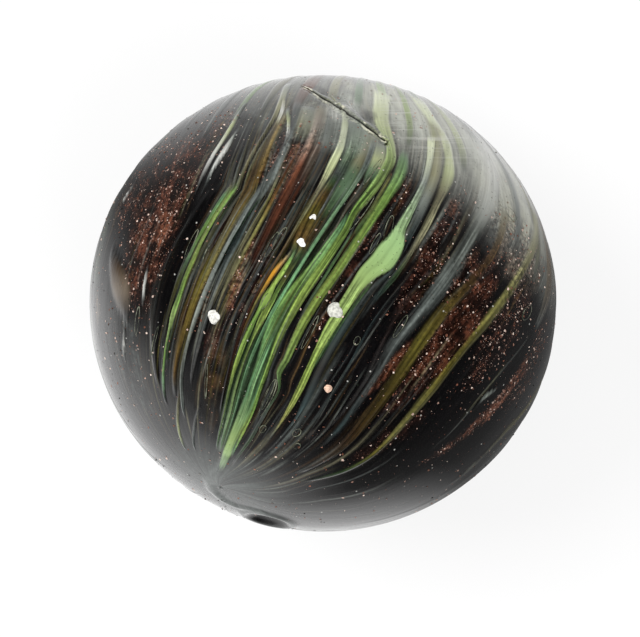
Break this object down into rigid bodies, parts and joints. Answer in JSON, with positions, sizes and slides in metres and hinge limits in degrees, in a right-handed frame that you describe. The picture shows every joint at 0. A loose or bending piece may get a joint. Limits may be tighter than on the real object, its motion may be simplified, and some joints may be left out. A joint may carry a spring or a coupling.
{
  "type": "glass marble",
  "caption": "Handmade swirl glass marble: dark aventurine glass with green, olive and grey-blue strands drawn to a pontil pit.",
  "frame": {"origin": "centre of the ball", "axes": "+Z out of the side that shows best and faces up at rest, +Y towards that side's upper edge, across the ball's slightly smaller diameter, +X to its right"},
  "size_m": [0.0191, 0.0187, 0.0192],
  "materials": {
    "glass": "polished"
  },
  "bodies": {
    "root": {"marble": "glass"}
  },
  "joints": []
}
